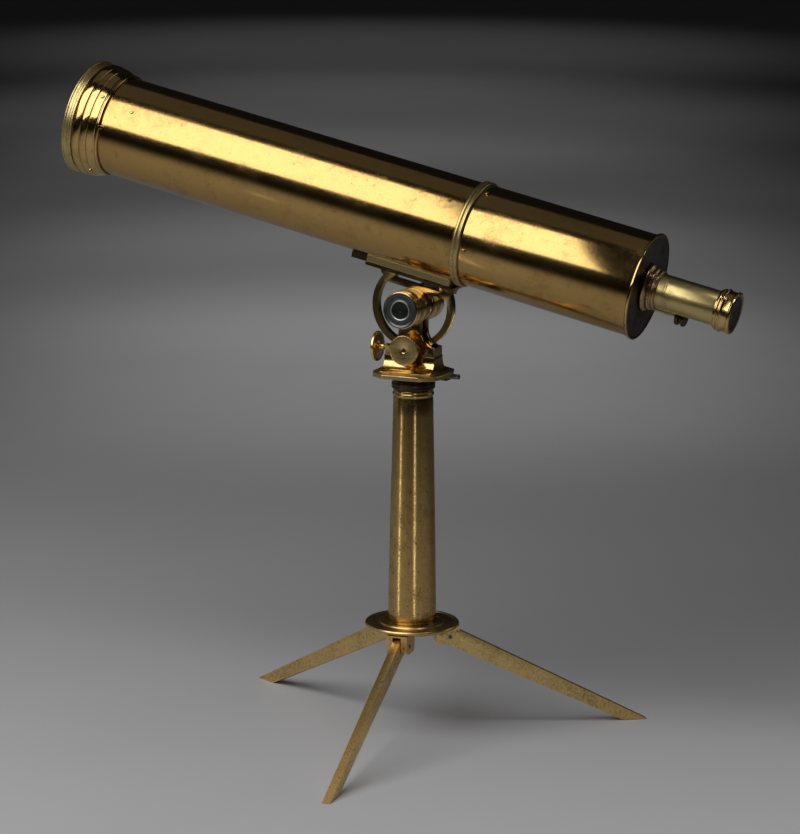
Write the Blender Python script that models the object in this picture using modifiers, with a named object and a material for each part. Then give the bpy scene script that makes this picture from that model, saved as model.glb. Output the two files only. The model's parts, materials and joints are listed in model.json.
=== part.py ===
"""Brass reflecting telescope on a folding tripod stand.

Metres, +Z up. The floor is z = 0 and the pillar stands on the Z axis. The tube lies in the XZ plane
with its eyepiece towards +X, tilted about the altitude axis, which is parallel to Y.
"""
import math

import bmesh
import bpy
from mathutils import Matrix

# ---------------------------------------------------------------- driving dimensions
fit_gap = 0.0003              # clearance between touching pieces
round_steps = 32              # facets round the large turned pieces
small_steps = 20              # facets round the small ones
fine_steps = 12               # facets round pins and spindles

# stand
leg_count = 3
leg_azimuth = math.radians(33.7)
foot_radius = 0.2629          # from the pillar axis to a leg's tip
leg_thickness = 0.0086
leg_hinge_depth = 0.0200      # height of the bar at the hinge
leg_tip_depth = 0.0122
hinge_radius = 0.0400         # from the pillar axis to a hinge pin
pin_radius = 0.0022
lug_thickness = 0.0070
lug_inner_reach = 0.0150      # from a hinge pin to its lug's inner end
lug_outer_reach = 0.0100
lug_height = 0.0205
base_radius = 0.0508
base_thickness = 0.0048
base_top = 0.1228             # height of the disc's rim

# pillar
pillar_top = 0.3775
pillar_top_radius = 0.0212
pillar_foot_radius = 0.0258
pillar_bore = 0.0150
azimuth_wheel_height = 0.0148  # from the pillar to the head's plate
azimuth_wheel_radius = 0.0232
azimuth_tooth_radius = 0.0220

# head
plate_thickness = 0.0045
plate_half_length = 0.0395    # along X
plate_half_width = 0.0380     # along Y
worm_rise = 0.0277            # from the plate's underside to the worm's axis
block_half_length = 0.0280
block_half_depth = 0.0110
block_step = 0.0217           # from the plate's underside, as for the next two
block_rise = 0.0312
nut_rise = 0.0117
flare_spread = 0.0135         # from the block to the edge of its foot
neck_half_length = 0.0125
drum_radius = 0.0198
drum_end = 0.0372             # from the tube's plane to a drum's rim
axle_radius = 0.0055
spindle_radius = 0.0090
worm_radius = 0.0034
worm_spindle_radius = 0.0021
knob_radius = 0.0162
azimuth_worm_radius = 0.0028

# altitude wheel
wheel_radius = 0.0458
wheel_rim = 0.0063
wheel_half_width = 0.0045
wheel_hub_radius = 0.0185
chord_height = 0.0175         # from the altitude axis to the chord bar's underside
chord_depth = 0.0061
foot_spread = 0.00265         # from the rim to the casting's foot

# tube, measured along its axis from the altitude axis, + towards the eyepiece
tube_tilt = math.radians(12.7)
saddle_height = 0.0396        # from the altitude axis to the tube's underside
saddle_depth = 0.0060         # from the tube's underside to the casting
tube_radius = 0.0535
tube_wall = 0.0012
rear_tube_step = 0.0004       # how much wider the rear tube is
rear_tube_wall = 0.0014
mouth_end = -0.4020
secondary_depth = 0.0600      # from the mouth to the small mirror
joint_ring_width = 0.0088
joint_ring_rise = 0.0027      # over the rear tube
plate_end = 0.2444            # rear face of the back plate
back_plate_rise = 0.0026      # over the rear tube
back_plate_thickness = 0.0030
mirror_hole_radius = 0.0115
eye_tube_radius = 0.0182
eye_tube_wall = 0.0016
eye_tube_length = 0.0740
eye_cap_rise = 0.0036         # over the eye tube
eye_cap_length = 0.0190
secondary_radius = 0.0115
rod_radius = 0.0021
rod_rise = 0.0064             # from the rear tube to the focus rod's axis
rod_angle = math.radians(122.5)  # from the tube's top round towards +Y
knob_reach = 0.0225           # from the back plate to the focus knob
carriage_length = 0.0220
focus_travel = 0.0052
saddle_half_width = 0.0200
casting_rear_lip = 0.0021     # past the casting's rear foot
casting_front_lip = 0.0157    # past its front foot
rail_inset = 0.0036           # from the casting's rear edge to the rails and the bar
bar_overhang = 0.0200         # of the bar, in front of the rails
joint_gap = 0.0051            # from the rails to the joint ring

# ---------------------------------------------------------------- sizes that follow from them
base_bottom = base_top - base_thickness
lug_top = base_bottom - fit_gap
lug_web = 0.0016
leg_eye = leg_hinge_depth / 2
hinge_height = lug_top - lug_web - leg_eye - 0.0006
lug_inner_radius = hinge_radius - lug_inner_reach
lug_outer_radius = hinge_radius + lug_outer_reach
plate_bottom = pillar_top + azimuth_wheel_height
worm_axis = plate_bottom + worm_rise
altitude_height = worm_axis + wheel_radius + 0.0007
block_step_height = plate_bottom + block_step
block_top = plate_bottom + block_rise
nut_seat = plate_bottom + nut_rise
flare_half_depth = block_half_depth + flare_spread
tube_offset = tube_radius + saddle_height
chord_top = chord_height + chord_depth
foot_outer = math.sqrt(wheel_radius ** 2 - chord_top ** 2) + foot_spread
plate_rear = foot_outer + casting_rear_lip
plate_front = -foot_outer - casting_front_lip
saddle_front = plate_front + 0.0020
saddle_rear = plate_rear - rail_inset
bar_front = saddle_front - bar_overhang
joint_centre = saddle_rear + joint_gap + joint_ring_width / 2
rear_tube_radius = tube_radius + rear_tube_step
joint_ring_radius = rear_tube_radius + joint_ring_rise
back_plate_radius = rear_tube_radius + back_plate_rise
secondary_place = mouth_end + secondary_depth
eye_cap_radius = eye_tube_radius + eye_cap_rise
rod_offset = rear_tube_radius + rod_rise

# ---------------------------------------------------------------- scene and helpers
for old in list(bpy.data.objects):
    bpy.data.objects.remove(old, do_unlink=True)

parts = bpy.data.collections.new("brass_telescope")
cutters = bpy.data.collections.new("cutters")
bpy.context.scene.collection.children.link(parts)
bpy.context.scene.collection.children.link(cutters)


def make_material(name, color, roughness, metallic):
    material = bpy.data.materials.new(name)
    material.use_nodes = True
    shader = material.node_tree.nodes["Principled BSDF"]
    shader.inputs["Base Color"].default_value = (*color, 1.0)
    shader.inputs["Roughness"].default_value = roughness
    shader.inputs["Metallic"].default_value = metallic
    return material


finishes = {
    "lacquered": ((0.62, 0.42, 0.16), 0.28, 1.0),
    "polished": ((0.74, 0.54, 0.24), 0.18, 1.0),
    "pale": ((0.66, 0.56, 0.32), 0.32, 1.0),
    "worn": ((0.40, 0.29, 0.13), 0.42, 1.0),
    "dark": ((0.12, 0.10, 0.07), 0.45, 1.0),
    "steel": ((0.20, 0.24, 0.27), 0.30, 1.0),
    "speculum": ((0.78, 0.76, 0.72), 0.06, 1.0),
    "glass": ((0.85, 0.92, 0.90), 0.03, 0.0),
}


def add_object(name, mesh, finish, parent=None, location=(0, 0, 0), rotation=(0, 0, 0)):
    piece = bpy.data.objects.new(name, mesh)
    piece.data.materials.append(make_material(name, *finishes[finish]))
    piece.location = location
    piece.rotation_euler = rotation
    piece.parent = parent
    parts.objects.link(piece)
    return piece


def add_empty(name, location=(0, 0, 0), rotation=(0, 0, 0), parent=None):
    empty = bpy.data.objects.new(name, None)
    empty.location = location
    empty.rotation_euler = rotation
    empty.parent = parent
    parts.objects.link(empty)
    return empty


def outline_mesh(name, points, closed):
    """A chain of edges in the local XZ plane, for a Screw modifier."""
    mesh = bpy.data.meshes.new(name)
    edges = [(i, i + 1) for i in range(len(points) - 1)]
    if closed:
        edges.append((len(points) - 1, 0))
    mesh.from_pydata([(radius, 0, height) for radius, height in points], edges, [])
    return mesh


def turned(name, points, finish, parent=None, location=(0, 0, 0), rotation=(0, 0, 0),
           steps=round_steps):
    """Turn (radius, height) points about local Z. A profile that touches the axis at both ends is
    a solid; any other is closed into a ring. Points run down the outer side."""
    solid = points[0][0] == 0 and points[-1][0] == 0
    piece = add_object(name, outline_mesh(name, points, not solid), finish, parent, location, rotation)
    screw = piece.modifiers.new("turn", "SCREW")
    screw.steps = steps
    screw.render_steps = steps
    screw.use_merge_vertices = True
    screw.merge_threshold = 0.00001
    screw.use_smooth_shade = True
    return piece


def plate_mesh(name, points, half_thickness):
    """A flat outline in local XY, given thickness along local Z about its own plane."""
    shape = bmesh.new()
    corners = [shape.verts.new((x, y, -half_thickness)) for x, y in points]
    face = shape.faces.new(corners)
    top = bmesh.ops.extrude_face_region(shape, geom=[face])
    moved = [item for item in top["geom"] if isinstance(item, bmesh.types.BMVert)]
    bmesh.ops.translate(shape, verts=moved, vec=(0, 0, 2 * half_thickness))
    bmesh.ops.recalc_face_normals(shape, faces=shape.faces)
    mesh = bpy.data.meshes.new(name)
    shape.to_mesh(mesh)
    shape.free()
    return mesh


def box_mesh(name, size, centre=(0, 0, 0)):
    shape = bmesh.new()
    place = Matrix.Translation(centre) @ Matrix.Diagonal((*size, 1.0))
    bmesh.ops.create_cube(shape, size=1.0, matrix=place)
    mesh = bpy.data.meshes.new(name)
    shape.to_mesh(mesh)
    shape.free()
    return mesh


def rod_mesh(name, radius, length, centre=(0, 0, 0), axis="Z", steps=small_steps):
    shape = bmesh.new()
    turn = {"X": Matrix.Rotation(math.pi / 2, 4, "Y"), "Y": Matrix.Rotation(-math.pi / 2, 4, "X"),
            "Z": Matrix.Identity(4)}[axis]
    bmesh.ops.create_cone(shape, cap_ends=True, segments=steps, radius1=radius, radius2=radius,
                          depth=length, matrix=Matrix.Translation(centre) @ turn)
    mesh = bpy.data.meshes.new(name)
    shape.to_mesh(mesh)
    shape.free()
    return mesh


def combine(piece, mesh, operation, frame=None):
    """Join or cut a helper shape, which sits in the piece's own frame or in that of an empty."""
    helper = bpy.data.objects.new(f"{piece.name}_{operation.lower()}_{len(cutters.objects)}", mesh)
    helper.parent = frame or piece.parent
    if frame is None:
        helper.location = piece.location
        helper.rotation_euler = piece.rotation_euler
    helper.hide_render = True
    helper.display_type = "WIRE"
    cutters.objects.link(helper)
    boolean = piece.modifiers.new(helper.name, "BOOLEAN")
    boolean.operation = operation
    boolean.object = helper
    boolean.solver = "EXACT"


def arc(centre, radius, start, end, steps):
    """Points on an arc in degrees, from start to end."""
    angles = [math.radians(start + (end - start) * i / steps) for i in range(steps + 1)]
    return [(centre[0] + radius * math.cos(a), centre[1] + radius * math.sin(a)) for a in angles]


along_x = (0, math.pi / 2, 0)
along_y = (-math.pi / 2, 0, 0)
along_minus_y = (math.pi / 2, 0, 0)

# ---------------------------------------------------------------- stand: disc, lugs, pins, legs
foot_seat = base_top + 0.0006      # the pillar's seat on the disc
spigot_radius = pillar_bore - fit_gap
spigot_height = 0.018
moulding_inner = pillar_foot_radius + 0.0037
moulding_outer = moulding_inner + 0.0060

turned("base_disc", [
    (0, foot_seat + spigot_height), (spigot_radius, foot_seat + spigot_height),
    (spigot_radius, foot_seat), (moulding_inner, foot_seat),
    (moulding_inner + 0.0010, foot_seat + 0.0011), (moulding_outer - 0.0020, foot_seat + 0.0008),
    (moulding_outer, base_top - 0.0010), (base_radius - 0.0040, base_top - 0.0012),
    (base_radius - 0.0028, base_top), (base_radius - 0.0008, base_top - 0.0004),
    (base_radius, base_top - 0.0016), (base_radius - 0.0012, base_bottom + 0.0012),
    (base_radius - 0.0030, base_bottom), (0, base_bottom)], "worn")

lug_bottom = lug_top - lug_height
lug_corner = 0.008
tip_half = leg_tip_depth / 2
leg_run = foot_radius - hinge_radius
leg_slope = math.atan2(hinge_height, leg_run) + math.asin(tip_half / math.hypot(hinge_height, leg_run))
pin_bore = pin_radius + 0.0001
pin_length = leg_thickness + 2 * (lug_thickness + fit_gap) + 0.0006


def lug_outline():
    """Side view of a lug as (radius, height), with its lower outer corner rounded."""
    return [(lug_inner_radius, lug_top), (lug_inner_radius, lug_bottom + 0.003),
            (lug_inner_radius + 0.003, lug_bottom),
            *arc((lug_outer_radius - lug_corner, lug_bottom + lug_corner), lug_corner, -90, 0, 4),
            (lug_outer_radius, lug_top)]


def leg_outline():
    """Side view of a leg from its hinge: a round eye, a bar that tapers, and a foot cut level."""
    def reach(offset):
        return (hinge_height + offset * math.cos(leg_slope)) / math.sin(leg_slope)
    return [*arc((0, 0), leg_eye, 90, 270, 8), (reach(-tip_half), -tip_half), (reach(tip_half), tip_half)]


for index in range(leg_count):
    number = index + 1
    spoke = add_empty(f"spoke_{number}", rotation=(0, 0, leg_azimuth + index * 2 * math.pi / leg_count))
    hinge = add_empty(f"hinge_{number}", location=(hinge_radius, 0, hinge_height), parent=spoke)
    lug_half = lug_thickness + leg_thickness / 2 + fit_gap
    lug = add_object(f"leg_lug_{number}", plate_mesh("lug", lug_outline(), lug_half), "worn", spoke,
                     rotation=(math.pi / 2, 0, 0))
    slot_start = hinge_radius - leg_eye - 0.0008
    combine(lug, box_mesh("slot", (0.06, 0.06, leg_thickness + 2 * fit_gap),
                          (slot_start + 0.03, lug_top - lug_web - 0.03, 0)), "DIFFERENCE")
    combine(lug, rod_mesh("bore", pin_bore, 0.05, (hinge_radius, hinge_height, 0)), "DIFFERENCE")
    add_object(f"leg_pin_{number}", rod_mesh("pin", pin_radius, pin_length, axis="Y"), "steel", hinge)
    leg = add_object(f"leg_{number}", plate_mesh("leg", leg_outline(), leg_thickness / 2), "worn", hinge,
                     rotation=(math.pi / 2, leg_slope, 0))
    combine(leg, rod_mesh("bore", pin_bore, 0.03), "DIFFERENCE")

# ---------------------------------------------------------------- pillar, spindle, azimuth wheel
pillar_bottom = foot_seat + fit_gap
neck_bead = pillar_top - 0.0050
taper_points = 4


def pillar_side():
    """The tapered shaft, slightly swollen, from under the neck bead to the foot."""
    top, bottom = neck_bead - 0.0034, pillar_bottom + 0.012
    points = []
    for i in range(taper_points + 1):
        t = 1 - i / taper_points
        radius = pillar_foot_radius - (pillar_foot_radius - pillar_top_radius) * t ** 1.25
        points.append((radius, bottom + (top - bottom) * t))
    return points


turned("pillar", [
    (pillar_top_radius - 0.0006, pillar_top), (pillar_top_radius, neck_bead + 0.0020),
    (pillar_top_radius + 0.0009, neck_bead), (pillar_top_radius, neck_bead - 0.0018),
    *pillar_side(), (pillar_foot_radius - 0.0004, pillar_bottom), (pillar_bore, pillar_bottom),
    (pillar_bore, pillar_top)], "lacquered")

wheel_bottom = pillar_top + fit_gap
wheel_top = plate_bottom - fit_gap
azimuth_worm_height = plate_bottom - azimuth_worm_radius - 0.0010
wheel_shelf = azimuth_worm_height - azimuth_worm_radius - 0.0008
wheel_bore = spindle_radius + 0.0030
turned("azimuth_wheel", [
    (azimuth_tooth_radius, wheel_top), (azimuth_tooth_radius, wheel_shelf),
    (azimuth_wheel_radius, wheel_shelf - 0.0005), (azimuth_wheel_radius, wheel_bottom + 0.0040),
    (azimuth_wheel_radius - 0.0012, wheel_bottom), (wheel_bore, wheel_bottom), (wheel_bore, wheel_top)],
    "dark")

bracket_bottom = plate_bottom + plate_thickness + fit_gap
nut_cavity = spindle_radius + 0.0012
nut_top = nut_seat + 0.0040
thread_radius = spindle_radius - 0.0042
turned("azimuth_spindle", [
    (0, nut_top + 0.0008), (thread_radius, nut_top + 0.0008), (thread_radius, nut_seat - fit_gap),
    (spindle_radius, nut_seat - fit_gap), (spindle_radius, wheel_top),
    (wheel_bore - fit_gap, wheel_top), (wheel_bore - fit_gap, wheel_bottom),
    (spigot_radius, pillar_top - fit_gap), (spigot_radius, pillar_top - 0.025),
    (0, pillar_top - 0.025)], "steel", steps=small_steps)
turned("spindle_nut", [
    (nut_cavity - 0.0004, nut_top), (nut_cavity - 0.0004, nut_seat + fit_gap),
    (thread_radius + 0.0002, nut_seat + fit_gap), (thread_radius + 0.0002, nut_top)], "steel",
    steps=small_steps)

# ---------------------------------------------------------------- head, turns about Z
head = add_empty("azimuth_axis")
altitude = (0, 0, altitude_height)
plate_outline = [(plate_half_length - 0.0185, plate_half_width),
                 (plate_half_length - 0.0045, plate_half_width - 0.0100),
                 (plate_half_length, plate_half_width - 0.0220)]


def mirrored(quarter):
    """A quarter outline, from the Y side round to the X side, repeated in all four quadrants."""
    right = quarter + [(x, -y) for x, y in reversed(quarter)]
    return right + [(-x, -y) for x, y in right]


spindle_hole = spindle_radius + 0.0002
plate_middle = plate_bottom + plate_thickness / 2
plate = add_object("head_plate", plate_mesh("plate", mirrored(plate_outline), plate_thickness / 2),
                   "polished", head, location=(0, 0, plate_middle))
combine(plate, rod_mesh("spindle_hole", spindle_hole, 0.02), "DIFFERENCE")

wheel_slot = wheel_half_width + 0.0011            # half the gap between the two cheeks
fillet_radius = 0.0175
neck_foot = block_top + fillet_radius
neck_join = math.degrees(math.acos(neck_half_length / drum_radius))


def bracket_outline():
    """Front view as (x, height): a block, concave shoulders, a neck, and a round head."""
    shoulder = arc((neck_half_length + fillet_radius, neck_foot), fillet_radius, 265, 180, 6)
    round_head = arc((0, altitude_height), drum_radius, -neck_join, 180 + neck_join, 16)
    right = [(block_half_length, bracket_bottom), (block_half_length, block_top), *shoulder]
    return right + round_head + [(-x, z) for x, z in reversed(right)]


def flare_outline():
    """End view as (height, depth) of the foot that spreads over the plate."""
    radius = flare_half_depth - block_half_depth - 0.0008
    side = arc((bracket_bottom + radius + 0.0010, flare_half_depth), radius, 180, 270, 5)
    side = [(bracket_bottom, flare_half_depth), *side, (block_step_height, block_half_depth + 0.0008)]
    return side + [(z, -y) for z, y in reversed(side)]


bracket = add_object("head_bracket", plate_mesh("bracket", bracket_outline(), block_half_depth),
                     "polished", head, rotation=(math.pi / 2, 0, 0))
flare = plate_mesh("flare", flare_outline(), block_half_length + 0.0004)
flare.transform(Matrix(((0, 0, 1, 0), (1, 0, 0, 0), (0, 1, 0, 0), (0, 0, 0, 1))))
combine(bracket, flare, "UNION")
combine(bracket, rod_mesh("spindle_hole", spindle_hole, 0.06, (0, nut_seat - 0.03, 0), "Y"), "DIFFERENCE")
combine(bracket, rod_mesh("nut_cavity", nut_cavity, 0.0062, (0, nut_seat + 0.0031, 0), "Y"), "DIFFERENCE")
combine(bracket, box_mesh("wheel_slot", (0.12, 0.08, 2 * wheel_slot), (0, block_top + 0.04, 0)),
        "DIFFERENCE")
pocket_floor = worm_axis - worm_radius - 0.0006
pocket_half_length = math.sqrt(wheel_radius ** 2 - (altitude_height - block_top) ** 2) + 0.0012
combine(bracket, box_mesh("worm_pocket", (2 * pocket_half_length, 0.02, 2 * wheel_slot),
                          (0, pocket_floor + 0.01, 0)), "DIFFERENCE")
combine(bracket, rod_mesh("axle_bore", axle_radius + 0.0002, 0.05, (0, altitude_height, 0)), "DIFFERENCE")
worm_bore = worm_spindle_radius + 0.0001
worm_bore_end = block_half_length - 0.0050
worm_bore_start = -block_half_length - 0.0040
combine(bracket, rod_mesh("worm_bore", worm_bore, worm_bore_end - worm_bore_start,
                          ((worm_bore_end + worm_bore_start) / 2, worm_axis, 0), "X", fine_steps),
        "DIFFERENCE")
clamp_height = worm_axis + 0.0024
clamp_radius = 0.0024
combine(bracket, rod_mesh("clamp_bore", clamp_radius + 0.0001, 0.010, (0, clamp_height, 0.0095), "Z",
                          fine_steps), "DIFFERENCE")

drum_start = block_half_depth + fit_gap
cap_seat = drum_end - 0.0042
cap_radius = drum_radius - 0.0028
axle_bore = axle_radius + 0.0002
for side, turn in (("near", along_minus_y), ("far", along_y)):
    turned(f"drum_{side}", [
        (drum_radius - 0.0006, drum_end), (drum_radius, drum_end - 0.0008),
        (drum_radius, drum_end - 0.0040), (drum_radius - 0.0008, drum_end - 0.0048),
        (drum_radius - 0.0008, drum_end - 0.0070), (drum_radius, drum_end - 0.0078),
        (drum_radius, drum_start), (axle_bore, drum_start), (axle_bore, cap_seat),
        (cap_radius + fit_gap, cap_seat), (cap_radius + fit_gap, drum_end)],
        "polished", head, altitude, turn, small_steps)
    cap_top = drum_end + 0.0006
    turned(f"drum_cap_{side}", [
        (0, cap_top - 0.0012), (0.0011, cap_top - 0.0012), (0.0011, cap_top - 0.0004),
        (0.0090, cap_top - 0.0004), (0.0096, cap_top), (0.0106, cap_top),
        (0.0112, cap_top - 0.0008), (cap_radius - 0.0020, cap_top - 0.0008),
        (cap_radius, cap_top - 0.0016), (cap_radius, cap_seat + fit_gap), (0, cap_seat + fit_gap)],
        "steel", head, altitude, turn, small_steps)
add_object("altitude_axle", rod_mesh("axle", axle_radius, 2 * cap_seat - 0.0002, axis="Y"), "steel",
           head, altitude)


def threaded(radius, core, start, end, pitch):
    """Ridges of a worm's threaded stretch on a turned profile, running down."""
    points = []
    for i in range(round((end - start) / pitch)):
        high = end - i * pitch
        points += [(core, high), (radius, high - 0.3 * pitch), (radius, high - 0.6 * pitch)]
    return points + [(core, start)]


worm_half_length = 0.0110
knob_stem_start = block_half_length + 0.0008
knob_face = knob_stem_start + 0.0145
worm_pitch = 0.0030
turned("altitude_worm", [
    (0, worm_bore_end - 0.0005), (worm_spindle_radius, worm_bore_end - 0.0005),
    *threaded(worm_radius, worm_spindle_radius, -worm_half_length, worm_half_length, worm_pitch),
    (worm_spindle_radius, -knob_face + 0.0020), (0, -knob_face + 0.0020)],
    "steel", head, (0, 0, worm_axis), along_x, fine_steps)
turned("altitude_knob", [
    (0.0040, -knob_stem_start), (0.0042, -knob_stem_start - 0.0020),
    (0.0028, -knob_stem_start - 0.0045), (0.0034, -knob_face + 0.0055),
    (0.0060, -knob_face + 0.0034), (knob_radius - 0.0024, -knob_face + 0.0030),
    (knob_radius, -knob_face + 0.0034), (knob_radius, -knob_face + 0.0006),
    (knob_radius - 0.0006, -knob_face), (knob_radius - 0.0030, -knob_face + 0.0008),
    (worm_spindle_radius + 0.0001, -knob_face + 0.0012),
    (worm_spindle_radius + 0.0001, -knob_stem_start)],
    "polished", head, (0, 0, worm_axis), along_x, small_steps)

clamp_tip = wheel_half_width + fit_gap
clamp_face = 0.0285
clamp_back = block_half_depth + 0.0012
add_object("clamp_screw", rod_mesh("screw", clamp_radius - 0.0001, clamp_face - 0.0030 - clamp_tip,
                                   (0, 0, (clamp_face - 0.0030 + clamp_tip) / 2), steps=fine_steps),
           "steel", head, (0, 0, clamp_height), along_minus_y)
turned("clamp_knob", [
    (clamp_radius, clamp_face - 0.0022), (knob_radius - 0.0045, clamp_face - 0.0006),
    (knob_radius - 0.0016, clamp_face - 0.0002), (knob_radius - 0.0002, clamp_face - 0.0008),
    (knob_radius, clamp_face - 0.0040), (knob_radius - 0.0020, clamp_face - 0.0046),
    (0.0060, clamp_face - 0.0050), (0.0038, clamp_face - 0.0075), (0.0046, clamp_back + 0.0015),
    (0.0046, clamp_back), (clamp_radius, clamp_back)],
    "polished", head, (0, 0, clamp_height), along_minus_y, small_steps)

azimuth_worm_offset = azimuth_tooth_radius + azimuth_worm_radius + fit_gap
bearing_place = plate_half_length - 0.0125
bearing_size = (0.0070, 0.0100, 0.0078)
bearing_top = plate_bottom - fit_gap
for side, sign in (("right", 1), ("left", -1)):
    place = (sign * bearing_place, azimuth_worm_offset, bearing_top - bearing_size[2] / 2)
    bearing = add_object(f"worm_bearing_{side}", box_mesh("bearing", bearing_size), "polished", head, place)
    combine(bearing, rod_mesh("bore", azimuth_worm_radius + 0.0001, 0.03,
                              (0, 0, azimuth_worm_height - place[2]), "X", fine_steps), "DIFFERENCE")
azimuth_worm_end = plate_half_length + 0.0030
worm_stretch = 0.0130
azimuth_worm_core = azimuth_worm_radius - 0.0008
turned("azimuth_worm", [
    (0, azimuth_worm_end), (azimuth_worm_radius - 0.0005, azimuth_worm_end),
    (azimuth_worm_radius, azimuth_worm_end - 0.0006), (azimuth_worm_radius, worm_stretch + 0.0020),
    *threaded(azimuth_worm_radius, azimuth_worm_core, -worm_stretch, worm_stretch, worm_pitch),
    (azimuth_worm_radius, -worm_stretch - 0.0020), (azimuth_worm_radius, -bearing_place - 0.0060),
    (0, -bearing_place - 0.0060)],
    "steel", head, (0, azimuth_worm_offset, azimuth_worm_height), along_x, fine_steps)

# ---------------------------------------------------------------- tube, tilts about the altitude axis
tilting = add_empty("altitude_axis", altitude, (0, tube_tilt, 0), head)
tube_axis = (0, 0, tube_offset)
casting_top = saddle_height - saddle_depth    # height above the altitude axis, as for what follows
casting_plate = 0.0026
bar_bottom = casting_top + fit_gap
rail_bottom = bar_bottom + 0.0020
wheel_inner = wheel_radius - wheel_rim
foot_inner = foot_outer - 0.0162
bar_half_width = 0.0138
casting_half_width = 0.0160


def casting_outline():
    """Side view of the altitude wheel: rim, feet and the plate that carries the tube."""
    under = casting_top - casting_plate
    open_angle = math.degrees(math.asin(chord_top / wheel_radius))
    rim = arc((0, 0), wheel_radius, 180 - open_angle, 360 + open_angle, 28)
    return [(plate_front, casting_top), (plate_front, under), (-foot_outer - 0.0070, under - 0.0008),
            (-foot_outer - 0.0018, under - 0.0028), (-foot_outer, under - 0.0062), *rim,
            (foot_outer, under - 0.0062), (foot_outer + 0.0006, under - 0.0028),
            (plate_rear, under), (plate_rear, casting_top)]


def rim_opening():
    """The D-shaped space inside the wheel's rim, under the chord bar."""
    open_angle = math.degrees(math.asin(chord_height / wheel_inner))
    return arc((0, 0), wheel_inner, 180 - open_angle, 360 + open_angle, 24)


wheel = add_object("altitude_wheel", plate_mesh("wheel", casting_outline(), wheel_half_width), "polished",
                   tilting, rotation=(math.pi / 2, 0, 0))
combine(wheel, plate_mesh("opening", rim_opening(), 0.02), "DIFFERENCE")
slot_height = casting_top - casting_plate - 0.0012 - chord_top
combine(wheel, box_mesh("slot", (2 * foot_inner, slot_height, 0.04), (0, chord_top + slot_height / 2, 0)),
        "DIFFERENCE")
combine(wheel, rod_mesh("hub", wheel_hub_radius, 2 * (wheel_slot - fit_gap)), "UNION")
combine(wheel, box_mesh("top_plate", (plate_rear - plate_front, casting_plate, 2 * casting_half_width),
                        ((plate_rear + plate_front) / 2, casting_top - casting_plate / 2, 0)), "UNION")
combine(wheel, rod_mesh("axle_bore", axle_bore, 0.04), "DIFFERENCE")
groove = bpy.data.meshes.new("groove")
groove_shape = bmesh.new()
bmesh.ops.create_circle(groove_shape, segments=12, radius=worm_radius + fit_gap,
                        matrix=Matrix.Translation((altitude_height - worm_axis, 0, 0))
                        @ Matrix.Rotation(math.pi / 2, 4, "X"))
bmesh.ops.spin(groove_shape, geom=groove_shape.edges[:], cent=(0, 0, 0), axis=(0, 0, 1),
               angle=2 * math.pi, steps=48, use_merge=True)
bmesh.ops.recalc_face_normals(groove_shape, faces=groove_shape.faces)
groove_shape.to_mesh(groove)
groove_shape.free()
combine(wheel, groove, "DIFFERENCE")
bolt_place = 0.0120
bolt_radius = 0.0024
combine(wheel, rod_mesh("bolt_hole", bolt_radius + 0.0002, 0.012, (bolt_place, casting_top, 0), "Y",
                        fine_steps), "DIFFERENCE")

bolt_head_top = chord_top + slot_height - fit_gap
turned("saddle_bolt", [
    (0, casting_top + 0.0024), (bolt_radius, casting_top + 0.0024), (bolt_radius, bolt_head_top),
    (0.0060, bolt_head_top), (0.0060, chord_top + 0.0018), (0.0050, chord_top + 0.0010),
    (0, chord_top + 0.0010)], "steel", tilting, (bolt_place, 0, 0), steps=fine_steps)

seat_radius = tube_radius + fit_gap
bar_top = tube_offset - tube_radius + 0.0012
bar = add_object("dovetail_bar", box_mesh(
    "bar", (saddle_rear - bar_front, 2 * bar_half_width, bar_top - bar_bottom),
    ((saddle_rear + bar_front) / 2, 0, (bar_top + bar_bottom) / 2)), "dark", tilting)
combine(bar, rod_mesh("seat", seat_radius, 0.4, tube_axis, "X", 96), "DIFFERENCE")
combine(bar, rod_mesh("bolt_hole", bolt_radius + 0.0002, 0.012, (bolt_place, 0, casting_top - 0.0030), "Z",
                      fine_steps), "DIFFERENCE")
rail_top = tube_offset - math.sqrt(seat_radius ** 2 - saddle_half_width ** 2) + 0.0005
rail_width = saddle_half_width - bar_half_width - fit_gap
for side, sign in (("near", -1), ("far", 1)):
    rail = add_object(f"saddle_rail_{side}", box_mesh(
        "rail", (saddle_rear - saddle_front, rail_width, rail_top - rail_bottom),
        ((saddle_rear + saddle_front) / 2, sign * (saddle_half_width - rail_width / 2),
         (rail_top + rail_bottom) / 2)), "pale", tilting)
    combine(rail, rod_mesh("seat", seat_radius, 0.4, tube_axis, "X", 96), "DIFFERENCE")

# barrels
mouth_ring_end = mouth_end + 0.0290
joint_front = joint_centre - joint_ring_width / 2
joint_rear = joint_centre + joint_ring_width / 2
rear_tube_end = plate_end - back_plate_thickness - fit_gap
front_inner = tube_radius - tube_wall
rear_inner = rear_tube_radius - rear_tube_wall


def tube_piece(name, points, finish, steps=round_steps):
    return turned(name, points, finish, tilting, tube_axis, along_x, steps)


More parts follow.
